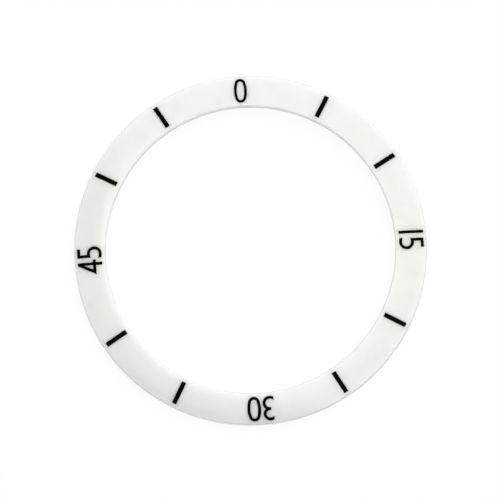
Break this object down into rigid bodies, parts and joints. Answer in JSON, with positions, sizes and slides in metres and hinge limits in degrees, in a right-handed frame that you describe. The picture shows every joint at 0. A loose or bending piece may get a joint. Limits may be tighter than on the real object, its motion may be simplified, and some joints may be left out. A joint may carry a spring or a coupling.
{
  "type": "watch bezel insert",
  "caption": "Domed white ring that sits in a watch's rotating bezel, with an engraved black 60-minute scale and an adhesive ring on its back.",
  "frame": {"origin": "on the ring's axis, in the plane of the adhesive's bonding face", "axes": "+Z along the ring's axis and out of the dome, +Y towards the scale's zero, +X towards its 15"},
  "size_m": [0.038, 0.038, 0.0012],
  "materials": {
    "white_ceramic": "polished",
    "black_enamel": "gloss",
    "adhesive_film": "satin"
  },
  "bodies": {
    "root": {"insert_ring": "white_ceramic", "adhesive_ring": "adhesive_film", "minute_bar_05": "black_enamel", "minute_bar_10": "black_enamel", "minute_bar_20": "black_enamel", "minute_bar_25": "black_enamel", "minute_bar_35": "black_enamel", "minute_bar_40": "black_enamel", "minute_bar_50": "black_enamel", "minute_bar_55": "black_enamel", "numeral_00_zero": "black_enamel", "numeral_15_one": "black_enamel", "numeral_15_five": "black_enamel", "numeral_30_three": "black_enamel", "numeral_30_zero": "black_enamel", "numeral_45_four": "black_enamel", "numeral_45_five": "black_enamel"}
  },
  "joints": []
}
